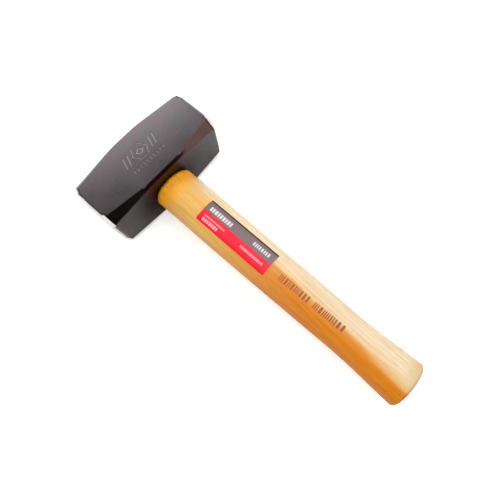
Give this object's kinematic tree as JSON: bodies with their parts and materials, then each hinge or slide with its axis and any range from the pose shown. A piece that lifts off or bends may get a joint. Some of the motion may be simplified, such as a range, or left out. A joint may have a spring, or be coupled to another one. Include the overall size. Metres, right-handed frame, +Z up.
{
  "type": "club hammer",
  "caption": "Short-handled club hammer: a square steel head with tapering edge chamfers and crowned striking faces, wedged on an oval hickory handle.",
  "frame": {"origin": "middle of the lower cheek of the head, on the plane the hammer lies on", "axes": "+Z up from the lower cheek to the upper cheek, X along the head from striking face to striking face, -Y along the handle from the head to the butt"},
  "size_m": [0.12, 0.2868, 0.0495],
  "materials": {
    "black_steel": "satin black lacquer on forged steel, with bare polished striking faces",
    "hickory": "clear satin lacquer, straight grain, pale sapwood along one side",
    "wedge_wood": "bare end grain",
    "wedge_steel": "plain mill finish",
    "label": "printed film sticker, dark grey upper half and red lower half"
  },
  "bodies": {
    "root": {"hammer_head": "black_steel", "handle": "hickory", "wood_wedge": "wedge_wood", "steel_wedge_left": "wedge_steel", "steel_wedge_right": "wedge_steel", "handle_label": "label"}
  },
  "joints": []
}
